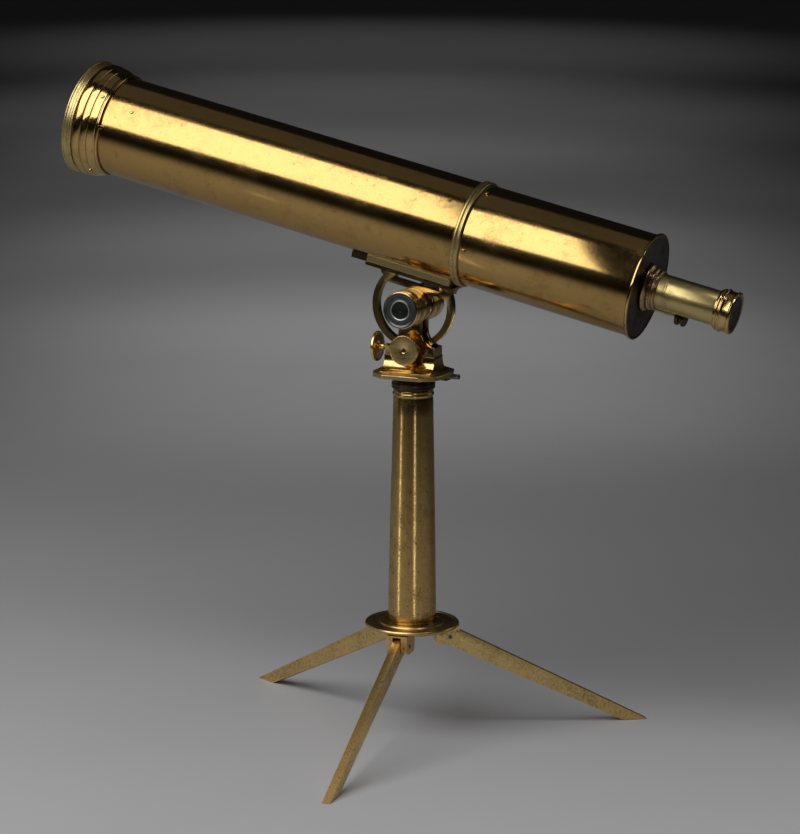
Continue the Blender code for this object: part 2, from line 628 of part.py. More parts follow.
front_tube = tube_piece("front_tube", [
    (tube_radius, joint_centre - fit_gap), (tube_radius, mouth_end + 0.0010),
    (front_inner, mouth_end + 0.0010), (front_inner, joint_centre - fit_gap)], "lacquered")
tube_piece("rear_tube", [
    (rear_tube_radius, rear_tube_end), (rear_tube_radius, joint_centre + fit_gap),
    (rear_inner, joint_centre + fit_gap), (rear_inner, rear_tube_end)], "lacquered")
ring_bore = rear_tube_radius + fit_gap
tube_piece("joint_ring", [
    (joint_ring_radius - 0.0009, joint_rear), (joint_ring_radius, joint_rear - 0.0012),
    (joint_ring_radius - 0.0002, joint_rear - 0.0026), (joint_ring_radius - 0.0012, joint_rear - 0.0033),
    (joint_ring_radius - 0.0012, joint_rear - 0.0040), (joint_ring_radius, joint_rear - 0.0048),
    (joint_ring_radius, joint_front + 0.0016), (joint_ring_radius - 0.0010, joint_front),
    (ring_bore, joint_front), (ring_bore, joint_rear)], "pale")
sleeve_radius = front_inner - fit_gap
tube_piece("joint_sleeve", [
    (sleeve_radius, joint_centre + 0.018), (sleeve_radius, joint_centre - 0.028),
    (sleeve_radius - 0.0014, joint_centre - 0.028), (sleeve_radius - 0.0014, joint_centre + 0.018)],
    "dark")
mouth_bore = tube_radius + fit_gap
mouth_front = mouth_end - 0.0010
tube_piece("mouth_ring", [
    (mouth_bore + 0.0008, mouth_ring_end), (mouth_bore + 0.0018, mouth_ring_end - 0.0012),
    (mouth_bore + 0.0012, mouth_ring_end - 0.0030), (mouth_bore + 0.0040, mouth_ring_end - 0.0060),
    (mouth_bore + 0.0046, mouth_ring_end - 0.0090), (mouth_bore + 0.0044, mouth_ring_end - 0.0115),
    (mouth_bore + 0.0058, mouth_ring_end - 0.0135), (mouth_bore + 0.0064, mouth_ring_end - 0.0175),
    (mouth_bore + 0.0062, mouth_ring_end - 0.0195), (mouth_bore + 0.0074, mouth_ring_end - 0.0215),
    (mouth_bore + 0.0077, mouth_ring_end - 0.0260), (mouth_bore + 0.0068, mouth_front),
    (mouth_bore, mouth_front), (mouth_bore, mouth_ring_end)], "polished")
cap_back = mouth_front - fit_gap
cap_front = cap_back - 0.0106
cap_plug = front_inner - 0.0006
tube_piece("dust_cap", [
    (0, cap_front + 0.0014), (cap_plug - 0.0014, cap_front + 0.0014), (cap_plug - 0.0014, cap_back + 0.0080),
    (cap_plug, cap_back + 0.0080), (cap_plug, cap_back), (mouth_bore + 0.0070, cap_back),
    (mouth_bore + 0.0074, cap_back - 0.0010), (mouth_bore + 0.0074, cap_front + 0.0024),
    (mouth_bore + 0.0086, cap_front + 0.0018), (mouth_bore + 0.0086, cap_front + 0.0006),
    (mouth_bore + 0.0070, cap_front), (0, cap_front)], "pale")

# back plate, large mirror and its cell
plate_face = plate_end - back_plate_thickness
spigot = rear_inner - fit_gap
eye_hole = eye_tube_radius - 0.0012
tube_piece("back_plate", [
    (eye_hole, plate_end - 0.0006), (back_plate_radius - 0.0030, plate_end - 0.0006),
    (back_plate_radius - 0.0020, plate_end), (back_plate_radius - 0.0004, plate_end - 0.0004),
    (back_plate_radius, plate_end - 0.0014), (back_plate_radius - 0.0006, plate_face),
    (spigot, plate_face), (spigot, plate_face - 0.0040), (spigot - 0.0020, plate_face - 0.0040),
    (spigot - 0.0020, plate_face - 0.0008), (eye_hole, plate_face - 0.0008)], "dark")
mirror_front = plate_end - 0.0225
mirror_back = mirror_front + 0.0090
mirror_radius = spigot - 0.0024
mirror_sag = 0.0013
tube_piece("primary_mirror", [
    (mirror_radius, mirror_back), (mirror_radius, mirror_front),
    (mirror_radius * 0.6, mirror_front + mirror_sag * 0.64), (mirror_hole_radius, mirror_front + mirror_sag),
    (mirror_hole_radius, mirror_back)], "speculum")
lip = mirror_radius - 0.0022
tube_piece("mirror_cell", [
    (spigot, mirror_back + 0.0008), (spigot, mirror_front - 0.0030), (lip, mirror_front - 0.0030),
    (lip, mirror_front - fit_gap), (mirror_radius + fit_gap, mirror_front - fit_gap),
    (mirror_radius + fit_gap, mirror_back + 0.0008)], "polished")

spring_outer = mirror_radius - 0.0058
spring_inner = spring_outer - 0.0100
spring_wave = 0.0009
spring_shape = bmesh.new()
start = [spring_shape.verts.new((radius, 0, 0)) for radius in (spring_inner, spring_outer)]
spring_shape.edges.new(start)
bmesh.ops.spin(spring_shape, geom=spring_shape.edges[:], cent=(0, 0, 0), axis=(0, 0, 1),
               angle=2 * math.pi, steps=36, use_merge=True)
for vertex in spring_shape.verts:
    vertex.co.z = spring_wave * math.cos(3 * math.atan2(vertex.co.y, vertex.co.x))
bmesh.ops.recalc_face_normals(spring_shape, faces=spring_shape.faces)
spring_mesh = bpy.data.meshes.new("spring")
spring_shape.to_mesh(spring_mesh)
spring_shape.free()
spring_space = plate_face - 0.0008 - mirror_back
spring = add_object("mirror_spring", spring_mesh, "steel", tilting,
                    (mirror_back + spring_space / 2, 0, tube_offset), along_x)
spring_solid = spring.modifiers.new("thickness", "SOLIDIFY")
spring_solid.thickness = 0.0007
spring_solid.offset = 0

# eyepiece
boss_end = plate_end + 0.0140
shoulder = plate_end + 0.0026
boss_bore = eye_tube_radius + fit_gap
boss_neck = eye_hole - fit_gap
tube_piece("eye_boss", [
    (boss_bore + 0.0010, boss_end), (boss_bore + 0.0027, boss_end - 0.0012),
    (boss_bore + 0.0039, boss_end - 0.0026), (boss_bore + 0.0031, boss_end - 0.0044),
    (boss_bore + 0.0049, boss_end - 0.0058), (boss_bore + 0.0049, plate_end + 0.0036),
    (boss_bore + 0.0063, plate_end + 0.0028), (boss_bore + 0.0075, plate_end + 0.0016),
    (boss_bore + 0.0071, plate_end + fit_gap),
    (boss_neck, plate_end + fit_gap), (boss_neck, plate_face - 0.0030),
    (boss_neck - 0.0020, plate_face - 0.0030), (boss_neck - 0.0020, shoulder), (boss_bore, shoulder),
    (boss_bore, boss_end)], "pale", small_steps)
eye_tube_start = shoulder + fit_gap
eye_tube_end = eye_tube_start + eye_tube_length + 0.0048
eye_bore = eye_tube_radius - eye_tube_wall
tube_piece("eye_tube", [
    (eye_tube_radius, eye_tube_end), (eye_tube_radius, eye_tube_start), (eye_bore, eye_tube_start),
    (eye_bore, eye_tube_end)], "pale", small_steps)
eye_cap_start = eye_tube_end - 0.0045
eye_cap_end = eye_cap_start + eye_cap_length
cap_wall = 0.0022
eye_face = eye_cap_end - 0.0026
tube_piece("eye_cap", [
    (0.0016, eye_face), (0.0040, eye_face), (eye_cap_radius - 0.0034, eye_cap_end - 0.0010),
    (eye_cap_radius - 0.0016, eye_cap_end), (eye_cap_radius + 0.0002, eye_cap_end - 0.0006),
    (eye_cap_radius + 0.0004, eye_cap_end - 0.0022), (eye_cap_radius - 0.0006, eye_cap_end - 0.0034),
    (eye_cap_radius - 0.0006, eye_cap_start + 0.0086), (eye_cap_radius + 0.0006, eye_cap_start + 0.0076),
    (eye_cap_radius + 0.0008, eye_cap_start + 0.0060), (eye_cap_radius - 0.0012, eye_cap_start + 0.0048),
    (eye_cap_radius - 0.0002, eye_cap_start + 0.0024), (eye_cap_radius - 0.0014, eye_cap_start),
    (boss_bore, eye_cap_start), (boss_bore, eye_tube_end + fit_gap),
    (boss_bore - cap_wall, eye_tube_end + fit_gap), (0.0070, eye_face - 0.0014),
    (0.0016, eye_face - 0.0014)], "polished", small_steps)


def lens(name, radius, start, edge, bulge, curved_back):
    """A lens with one domed face."""
    steps = 4
    dome = [(radius * i / steps, bulge * (1 - (i / steps) ** 2)) for i in range(steps + 1)]
    if curved_back:
        points = [(r, start + edge + rise) for r, rise in dome] + [(radius, start), (0, start)]
    else:
        points = [(0, start + edge), (radius, start + edge)] + [
            (r, start - rise) for r, rise in reversed(dome)]
    tube_piece(name, points, "glass", small_steps)


holder_radius = eye_bore - fit_gap
field_place = eye_tube_start + 0.0100
lens("field_lens", holder_radius, field_place, 0.0016, 0.0024, False)
tube_piece("field_lens_ring", [
    (holder_radius, field_place + 0.0052), (holder_radius, field_place + 0.0019),
    (holder_radius - 0.0018, field_place + 0.0019), (holder_radius - 0.0018, field_place + 0.0052)],
    "pale", small_steps)
eye_lens_radius = 0.0090
eye_lens_place = eye_tube_end - 0.0120
lens("eye_lens", eye_lens_radius, eye_lens_place, 0.0014, 0.0020, False)
tube_piece("eye_lens_cell", [
    (holder_radius, eye_lens_place + 0.0040), (holder_radius, eye_lens_place - 0.0006),
    (eye_lens_radius + 0.0002, eye_lens_place - 0.0006), (eye_lens_radius + 0.0002, eye_lens_place + 0.0018),
    (eye_lens_radius - 0.0012, eye_lens_place + 0.0018), (eye_lens_radius - 0.0012, eye_lens_place + 0.0040)],
    "pale", small_steps)

# focusing: rod along the tube's far side, carriage, arm and small mirror
focus_side = add_empty("focus_axis", tube_axis, (-rod_angle, 0, 0), tilting)
rod_bore = rod_radius + 0.0001
rod_start = secondary_place - 0.0300
rod_end = plate_end + knob_reach
add_object("focus_rod", rod_mesh("rod", rod_radius, rod_end - rod_start + 0.0090,
                                 ((rod_end + 0.0090 + rod_start) / 2, 0, 0), "X", fine_steps), "pale",
           focus_side, (0, 0, rod_offset))
focus_knob_radius = 0.0092
turned("focus_knob", [
    (rod_bore, rod_end + 0.0110), (focus_knob_radius - 0.0008, rod_end + 0.0110),
    (focus_knob_radius, rod_end + 0.0100), (focus_knob_radius, rod_end + 0.0074),
    (focus_knob_radius - 0.0034, rod_end + 0.0066), (focus_knob_radius - 0.0034, rod_end + 0.0046),
    (focus_knob_radius, rod_end + 0.0038), (focus_knob_radius, rod_end + 0.0008),
    (focus_knob_radius - 0.0008, rod_end), (rod_bore, rod_end)], "dark", focus_side,
    (0, 0, rod_offset), along_x, small_steps)

bracket_top = rod_offset + rod_radius + 0.0016
bracket_sizes = {"front": (rod_start + 0.0010, 0.0060, tube_radius), "rear": (
    plate_end - 0.0160, 0.0080, rear_tube_radius)}
for side, (place, length, seat) in bracket_sizes.items():
    foot = seat + fit_gap
    stand = add_object(f"rod_bracket_{side}", box_mesh(
        "bracket", (length, 0.0090, bracket_top - foot), (place + length / 2, 0, (bracket_top + foot) / 2)),
        "pale", focus_side)
    combine(stand, rod_mesh("bore", rod_bore, 0.03, (place, 0, rod_offset), "X", fine_steps), "DIFFERENCE")
carriage = add_object("mirror_carriage", box_mesh(
    "carriage", (carriage_length, 0.0120, bracket_top - tube_radius - 2 * fit_gap),
    (secondary_place, 0, (bracket_top + tube_radius + 2 * fit_gap) / 2)), "pale", focus_side)
combine(carriage, rod_mesh("bore", rod_bore, 0.05, (secondary_place, 0, rod_offset), "X", fine_steps),
        "DIFFERENCE")
arm_length, arm_width = 0.0080, 0.0016
slot_half_width = arm_width / 2 + 0.0008
slot_length = arm_length + 2 * (focus_travel + 0.0010)
combine(front_tube, box_mesh("slot", (slot_length, 2 * slot_half_width, 0.006),
                             (secondary_place, 0, tube_radius - 0.001)), "DIFFERENCE", focus_side)
cell_radius = secondary_radius + 0.0014
arm_top = tube_radius + fit_gap
add_object("secondary_arm", box_mesh("arm", (arm_length, arm_width, arm_top - cell_radius - fit_gap),
                                     (secondary_place, 0, (arm_top + cell_radius + fit_gap) / 2)),
           "dark", focus_side)
mirror_seat = secondary_place - 0.0012
tube_piece("secondary_cell", [
    (0, mirror_seat), (secondary_radius + fit_gap, mirror_seat), (secondary_radius + fit_gap,
     secondary_place + 0.0052), (cell_radius, secondary_place + 0.0052), (cell_radius, mirror_seat - 0.0022),
    (0, mirror_seat - 0.0022)], "dark", small_steps)
tube_piece("secondary_mirror", [
    (0, secondary_place + 0.0030), (secondary_radius * 0.5, secondary_place + 0.0033),
    (secondary_radius, secondary_place + 0.0042), (secondary_radius, mirror_seat + fit_gap),
    (0, mirror_seat + fit_gap)], "speculum", small_steps)

# ---------------------------------------------------------------- origin under the middle of the whole object
bpy.context.view_layer.update()
graph = bpy.context.evaluated_depsgraph_get()
corners = [piece.matrix_world @ vertex.co for piece in parts.objects if piece.type == "MESH"
           for vertex in piece.evaluated_get(graph).data.vertices]
middle = [(min(corner[i] for corner in corners) + max(corner[i] for corner in corners)) / 2 for i in (0, 1)]
loose = [piece for piece in [*parts.objects, *cutters.objects] if piece.parent is None]
telescope = add_empty("telescope", (-middle[0], -middle[1], 0))
for piece in loose:
    piece.parent = telescope
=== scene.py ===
import json
import math
import bmesh
import bpy
from mathutils import Matrix, Vector


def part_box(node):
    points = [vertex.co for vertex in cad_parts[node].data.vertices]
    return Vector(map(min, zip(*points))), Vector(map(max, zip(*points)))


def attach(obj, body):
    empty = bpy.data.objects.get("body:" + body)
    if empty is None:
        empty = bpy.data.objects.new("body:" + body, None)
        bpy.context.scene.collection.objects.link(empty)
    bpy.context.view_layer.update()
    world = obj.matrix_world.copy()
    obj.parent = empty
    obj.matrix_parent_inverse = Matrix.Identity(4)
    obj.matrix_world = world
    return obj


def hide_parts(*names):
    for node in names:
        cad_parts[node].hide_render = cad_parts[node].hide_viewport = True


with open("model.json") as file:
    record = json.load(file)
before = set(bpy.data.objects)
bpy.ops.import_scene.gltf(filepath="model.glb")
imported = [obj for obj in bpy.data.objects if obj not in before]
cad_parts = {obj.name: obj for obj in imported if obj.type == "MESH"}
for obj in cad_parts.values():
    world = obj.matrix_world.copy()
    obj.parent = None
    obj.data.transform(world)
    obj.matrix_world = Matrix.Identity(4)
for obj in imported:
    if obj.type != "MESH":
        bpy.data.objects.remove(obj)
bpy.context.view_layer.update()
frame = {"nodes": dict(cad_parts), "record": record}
joints = {joint["name"]: joint for joint in frame["record"]["behaviour"]["joints"]}

# where things are: the pillar's axis, the altitude pivot and the tube's tilt
pillarLow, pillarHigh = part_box("pillar")
pillarFoot = Vector(((pillarLow.x + pillarHigh.x) / 2, (pillarLow.y + pillarHigh.y) / 2, 0))
pivot = Vector(joints["altitude"]["pos_m"])
tubeTilt = math.asin(joints["cap_pull"]["axis"][2])
tubeOffset = 0.0931              # from the altitude axis to the tube's axis
mm = 0.001

alongX = Matrix.Rotation(math.pi / 2, 4, "Y")      # a lathe axis laid along +X
alongY = Matrix.Rotation(-math.pi / 2, 4, "X")
alongMinusY = Matrix.Rotation(math.pi / 2, 4, "X")
standFrame = Matrix.Translation(pillarFoot)
headFrame = Matrix.Translation(pivot)
tiltFrame = headFrame @ Matrix.Rotation(tubeTilt, 4, "Y")
tubeFrame = tiltFrame @ Matrix.Translation((0, 0, tubeOffset))
rodAngle = math.radians(122.5)   # the focusing rod's place round the tube, from the top to the far side
rodFrame = tubeFrame @ Matrix.Rotation(-rodAngle, 4, "X")
print("frame loaded")

# ---- shader maths


class Signal:
    def __init__(self, finish, socket):
        self.finish, self.socket = finish, socket

    def math(self, operation, *values):
        return self.finish.add("ShaderNodeMath", {"operation": operation}, dict(enumerate(values)))

    def __add__(self, other):
        return self.math("ADD", self, other)

    def __sub__(self, other):
        return self.math("SUBTRACT", self, other)

    def __mul__(self, other):
        return self.math("MULTIPLY", self, other)


class Finish:
    def __init__(self, name):
        self.material = bpy.data.materials.new(name)
        self.material.use_nodes = True
        self.tree = self.material.node_tree
        self.shader = self.tree.nodes["Principled BSDF"]

    def add(self, kind, settings=None, values=None, output=0):
        node = self.tree.nodes.new(kind)
        for key, value in (settings or {}).items():
            setattr(node, key, value)
        for key, value in (values or {}).items():
            if isinstance(value, Signal):
                self.tree.links.new(value.socket, node.inputs[key])
            else:
                node.inputs[key].default_value = value
        return Signal(self, node.outputs[output])

    def place(self, matrix, stretch=(1, 1, 1)):
        # the piece's own coordinates, in the frame of a lathe or a bar
        where, turn, _ = matrix.decompose()
        here = self.add("ShaderNodeTexCoord", output=3)
        local = self.add("ShaderNodeMapping", {"vector_type": "TEXTURE"}, {
            "Vector": here, "Location": where, "Rotation": turn.to_euler()})
        return self.add("ShaderNodeMapping", values={"Vector": local, "Scale": stretch})

    def noise(self, vector, scale, detail=4, roughness=0.55, distortion=0.0):
        return self.add("ShaderNodeTexNoise", values={
            "Vector": vector, "Scale": scale, "Detail": detail, "Roughness": roughness,
            "Distortion": distortion})

    def radius(self, matrix):
        # the distance from the matrix's Z axis
        across = self.place(matrix, (1, 1, 0))
        return self.add("ShaderNodeVectorMath", {"operation": "LENGTH"}, {0: across}, 1)

    def rings(self, matrix, scale):
        # the fine marks that a lathe tool leaves, round the matrix's Z axis
        radius = self.radius(matrix)
        height = self.add("ShaderNodeSeparateXYZ", values={0: self.place(matrix)}, output=2)
        return self.add("ShaderNodeTexNoise", {"noise_dimensions": "1D"}, {
            "W": (radius + height) * scale, "Scale": 1.0, "Detail": 2})

    def ramp(self, value, low, high):
        # 0 below low, 1 above high
        return self.add("ShaderNodeMapRange", {"interpolation_type": "SMOOTHSTEP"}, {
            "Value": value, "From Min": low, "From Max": high})

    def blend(self, factor, colorA, colorB):
        values = {0: factor, 6: colorA, 7: colorB}
        return self.add("ShaderNodeMix", {"data_type": "RGBA"}, values, output=2)

    def feed(self, socket, value):
        if isinstance(value, Signal):
            self.tree.links.new(value.socket, self.shader.inputs[socket])
        else:
            self.shader.inputs[socket].default_value = value

    def bump(self, height, strength, distance):
        self.feed("Normal", self.add("ShaderNodeBump", values={
            "Height": height, "Strength": strength, "Distance": distance}))


def rgb(red, green, blue):
    return (red, green, blue, 1)


# tarnish covers spread of the metal in clouds, and mottle is a fine speckle of it over everything;
# pits are small dark spots, rings the tool marks, relief the depth of the bump and peel its waviness
brassLooks = {
    "lacquered": dict(color=rgb(0.47, 0.300, 0.102), tarnish=rgb(0.20, 0.110, 0.036), spread=0.34,
                      mottle=0.18, rough=0.14, pits=0.45, rings=0.05, relief=0.28, peel=0.5),
    "pillarLacquer": dict(color=rgb(0.52, 0.345, 0.124), tarnish=rgb(0.20, 0.112, 0.040), spread=0.32,
                          mottle=0.38, rough=0.19, pits=0.7, rings=0.04, relief=0.24, peel=0.5),
    "muzzle": dict(color=rgb(0.56, 0.380, 0.145), tarnish=rgb(0.20, 0.105, 0.038), spread=0.35, mottle=0.10,
                   rough=0.10, pits=0.4, rings=0.10, relief=0.15, peel=0.3),
    "eyeCap": dict(color=rgb(0.60, 0.415, 0.165), tarnish=rgb(0.20, 0.112, 0.040), spread=0.45, mottle=0.15,
                   rough=0.17, pits=0.3, rings=0.15, relief=0.10, peel=0.05),
    "polished": dict(color=rgb(0.60, 0.415, 0.165), tarnish=rgb(0.20, 0.112, 0.040), spread=0.50, mottle=0.18,
                     rough=0.14, pits=0.4, rings=0.0, relief=0.15, peel=0.3),
    "turned": dict(color=rgb(0.80, 0.565, 0.225), tarnish=rgb(0.32, 0.195, 0.080), spread=0.35, mottle=0.12,
                   rough=0.20, pits=0.2, rings=1.0, relief=0.30, peel=0.05),
    "pale": dict(color=rgb(0.54, 0.425, 0.185), tarnish=rgb(0.25, 0.175, 0.066), spread=0.5, mottle=0.22,
                 rough=0.31, pits=0.4, rings=0.4, relief=0.20, peel=0.3),
    "brown": dict(color=rgb(0.50, 0.345, 0.175), tarnish=rgb(0.22, 0.130, 0.062), spread=0.6, mottle=0.3,
                  rough=0.24, pits=0.3, rings=0.2, relief=0.12, peel=0.05),
    "worn": dict(color=rgb(0.80, 0.565, 0.230), tarnish=rgb(0.26, 0.160, 0.058), spread=0.22, mottle=0.42,
                 rough=0.34, pits=0.7, rings=0.0, relief=0.28, peel=0.5),
    "disc": dict(color=rgb(0.62, 0.430, 0.175), tarnish=rgb(0.20, 0.120, 0.045), spread=0.5, mottle=0.3,
                 rough=0.30, pits=0.3, rings=0.9, relief=0.35, peel=0.1),
    "dark": dict(color=rgb(0.085, 0.062, 0.036), tarnish=rgb(0.018, 0.014, 0.010), spread=0.6, mottle=0.3,
                 rough=0.30, pits=0.3, rings=0.5, relief=0.2, peel=0.3),
}


def brassFinish(name, look, matrix):
    look = brassLooks[look]
    finish = Finish(name)
    here = finish.place(matrix)
    cloudy = finish.noise(here, 22, 5, 0.6)
    blotch = finish.noise(here, 75, 6, 0.68, 0.6)
    speckle = finish.noise(here, 560, 3, 0.65)
    peel = finish.noise(here, 340, 3, 0.6)
    scratch = finish.noise(finish.place(matrix, (260, 260, 9)), 1.0, 2, 0.5, 0.4)
    stain = finish.ramp(blotch * 0.5 + cloudy * 0.5, 0.47, 0.66) * look["spread"]
    grain = finish.ramp(speckle * 0.75 + blotch * 0.25, 0.40, 0.62) * look["mottle"]
    spots = finish.ramp(finish.noise(here, 210, 2, 0.5), 0.67, 0.73) * look["pits"]
    dirt = finish.ramp(stain + grain + spots * 0.7, 0, 1)
    finish.feed("Base Color", finish.blend(dirt, look["color"], look["tarnish"]))
    finish.feed("Metallic", 1.0)
    finish.feed("Roughness", dirt * 0.16 + look["rough"] + (speckle - 0.5) * 0.10 + (cloudy - 0.5) * 0.08)
    height = speckle * 0.15 + peel * look["peel"] - spots * 0.7 + blotch * 0.12
    height = height + finish.ramp(scratch, 0.70, 0.76) * 0.3
    if look["rings"]:
        height = height + finish.rings(matrix, 3000) * look["rings"]
    finish.bump(height, look["relief"], 0.0002)
    return finish.material


def steelFinish(name, matrix):
    finish = Finish(name)
    here = finish.place(matrix)
    bloom = finish.noise(here, 60, 4, 0.6)
    fine = finish.noise(here, 500, 2, 0.5)
    finish.feed("Base Color", finish.blend(finish.ramp(bloom, 0.35, 0.7), rgb(0.070, 0.076, 0.076),
                                           rgb(0.200, 0.212, 0.200)))
    finish.feed("Metallic", 1.0)
    finish.feed("Roughness", bloom * 0.16 + 0.27)
    finish.bump(fine, 0.18, 0.0001)
    return finish.material


# where the bright ring of a cap fades in and out, as metres from its axis
capRing = dict(inside=(0.0092, 0.0098), outside=(0.0106, 0.0112))


def capFinish(name, matrix):
    # a turned steel cap: dark in the middle, with a bright ring round it
    finish = Finish(name)
    bloom = finish.noise(finish.place(matrix), 90, 4, 0.6)
    radius = finish.radius(matrix)
    outer = finish.ramp(radius, *capRing["inside"])
    ring = outer - finish.ramp(radius, *capRing["outside"])
    field = finish.blend(outer, rgb(0.035, 0.037, 0.036), rgb(0.100, 0.105, 0.101))
    finish.feed("Base Color", finish.blend(ring, field, rgb(0.44, 0.45, 0.42)))
    finish.feed("Metallic", 1.0)
    finish.feed("Roughness", bloom * 0.24 + 0.22)
    finish.bump(finish.rings(matrix, 2600), 0.10, 0.0002)
    return finish.material


def mirrorFinish():
    finish = Finish("speculumMetal")
    here = finish.place(tubeFrame)
    haze = finish.noise(here, 40, 4, 0.6)
    finish.feed("Base Color", finish.blend(finish.ramp(haze, 0.45, 0.75), rgb(0.80, 0.77, 0.72),
                                           rgb(0.66, 0.60, 0.52)))
    finish.feed("Metallic", 1.0)
    finish.feed("Roughness", haze * 0.06 + 0.04)
    return finish.material


def glassFinish():
    finish = Finish("opticalGlass")
    here = finish.place(tubeFrame)
    finish.feed("Base Color", rgb(0.9, 0.97, 0.94))
    finish.feed("Roughness", finish.noise(here, 90) * 0.04 + 0.02)
    finish.feed("Transmission Weight", 1.0)
    finish.feed("IOR", 1.52)
    return finish.material


finishes = {
    "tube": brassFinish("lacqueredTube", "lacquered", tubeFrame @ alongX),
    "tubePolished": brassFinish("polishedMoulding", "muzzle", tubeFrame @ alongX),
    "eyeCap": brassFinish("eyeCapBrass", "eyeCap", tubeFrame @ alongX),
    "tubeBrown": brassFinish("brownBoss", "brown", tubeFrame @ alongX),
    "tubePale": brassFinish("paleTube", "pale", tubeFrame @ alongX),
    "tubeDark": brassFinish("darkTube", "dark", tubeFrame @ alongX),
    "rodPale": brassFinish("paleRod", "pale", rodFrame @ alongX),
    "saddlePale": brassFinish("paleSaddle", "pale", tiltFrame),
    "saddleDark": brassFinish("darkSaddle", "dark", tiltFrame),
    "wheel": brassFinish("wheelBrass", "polished", tiltFrame @ alongMinusY),
    "pillar": brassFinish("pillarBrass", "pillarLacquer", standFrame),
    "base": brassFinish("baseBrass", "worn", standFrame),
    "disc": brassFinish("discBrass", "disc", standFrame),
    "collar": brassFinish("collarBrass", "dark", standFrame),
    "head": brassFinish("headBrass", "polished", headFrame),
    "plate": brassFinish("plateBrass", "pale", headFrame),
    "drum": brassFinish("drumBrass", "turned", headFrame @ alongMinusY),
    "knobX": brassFinish("knobBrass", "turned", headFrame @ alongX),
    "steel": steelFinish("bluedSteel", headFrame),
    "cap": capFinish("capSteel", headFrame @ alongMinusY),
    "speculum": mirrorFinish(),
    "glass": glassFinish(),
}
for number in (1, 2, 3):
    joint = joints[f"leg_{number}_fold"]
    along = Vector((joint["axis"][1], -joint["axis"][0], 0))
    barFrame = Matrix.Translation(joint["pos_m"]) @ along.to_track_quat("X", "Z").to_matrix().to_4x4()
    finishes[f"leg{number}"] = brassFinish(f"legBrass{number}", "worn", barFrame)
print("finishes made:", len(finishes))

# every CAD piece gets a finish; the detailed pieces below take their CAD piece's place
nodeFinish = {
    "tube": ["front_tube", "rear_tube"],
    "tubePolished": ["mouth_ring", "mirror_cell"],
    "eyeCap": ["eye_cap"],
    "tubePale": ["dust_cap", "joint_ring", "eye_tube", "field_lens_ring", "eye_lens_cell"],
    "tubeBrown": ["eye_boss"],
    "tubeDark": ["back_plate", "joint_sleeve", "focus_knob", "secondary_cell", "secondary_arm"],
    "rodPale": ["focus_rod", "rod_bracket_front", "rod_bracket_rear", "mirror_carriage"],
    "saddlePale": ["saddle_rail_near", "saddle_rail_far"],
    "saddleDark": ["dovetail_bar"],
    "wheel": ["altitude_wheel"],
    "pillar": ["pillar"],
    "base": ["leg_lug_1", "leg_lug_2", "leg_lug_3"],
    "disc": ["base_disc"],
    "collar": ["azimuth_wheel"],
    "head": ["head_bracket", "worm_bearing_left", "worm_bearing_right"],
    "plate": ["head_plate"],
    "drum": ["drum_near", "drum_far", "clamp_knob"],
    "knobX": ["altitude_knob"],
    "cap": ["drum_cap_near", "drum_cap_far"],
    "steel": ["azimuth_spindle", "spindle_nut", "leg_pin_1", "leg_pin_2", "leg_pin_3", "altitude_axle",
              "altitude_worm", "azimuth_worm", "clamp_screw", "saddle_bolt", "mirror_spring"],
    "speculum": ["primary_mirror", "secondary_mirror"],
    "glass": ["field_lens", "eye_lens"],
    "leg1": ["leg_1"], "leg2": ["leg_2"], "leg3": ["leg_3"],
}
for finishName, nodeNames in nodeFinish.items():
    for nodeName in nodeNames:
        node = frame["nodes"][nodeName]
        node.data.materials.clear()
        node.data.materials.append(finishes[finishName])
bodyOf = {node: body for body, nodes in frame["record"]["behaviour"]["bodies"].items() for node in nodes}


# how much of a side a rounded corner may take, and the turn in degrees and reach in mm that it needs
easing = dict(share=0.4, turn=18, reach=0.02)


def eased(profile, width=0.35):
    # the same outline with its corners rounded off
    points = [profile[0]]
    for before, corner, after in zip(profile, profile[1:], profile[2:]):
        here, back, ahead = Vector(corner), Vector(before), Vector(after)
        turn = (here - back).angle(ahead - here, 0)
        reach = min(width, easing["share"] * (here - back).length, easing["share"] * (ahead - here).length)
        if turn < math.radians(easing["turn"]) or reach < easing["reach"]:
            points.append(corner)
            continue
        start, end = here + (back - here).normalized() * reach, here + (ahead - here).normalized() * reach
        middle = (start + end + 2 * here) / 4
        points += [tuple(start), tuple(middle), tuple(end)]
    return points + [profile[-1]]


def bead(radius, middle, halfWidth, rise, steps=6):
    # a convex moulding, written from its far end back
    angles = [math.pi * i / steps for i in range(steps + 1)]
    return [(radius + rise * math.sin(a), middle + halfWidth * math.cos(a)) for a in angles]


def turnedShape(profile, place, steps=96, width=0.35):
    # spins (radius, height) points, in millimetres, about the lathe's axis
    solid = profile[0][0] == 0 and profile[-1][0] == 0
    if solid:
        outline = eased(profile, width)
    else:
        outline = eased([*profile, profile[0], profile[1]], width)[1:-1]
    shape = bmesh.new()
    corners = [shape.verts.new((radius * mm, 0, height * mm)) for radius, height in outline]
    edges = [shape.edges.new(pair) for pair in zip(corners, corners[1:])]
    if not solid:
        edges.append(shape.edges.new((corners[-1], corners[0])))
    bmesh.ops.spin(shape, geom=shape.verts[:] + edges, cent=(0, 0, 0), axis=(0, 0, 1),
                   angle=2 * math.pi, steps=steps, use_merge=True)
    bmesh.ops.remove_doubles(shape, verts=shape.verts, dist=1e-6)
    bmesh.ops.transform(shape, matrix=place, verts=shape.verts)
    return shape


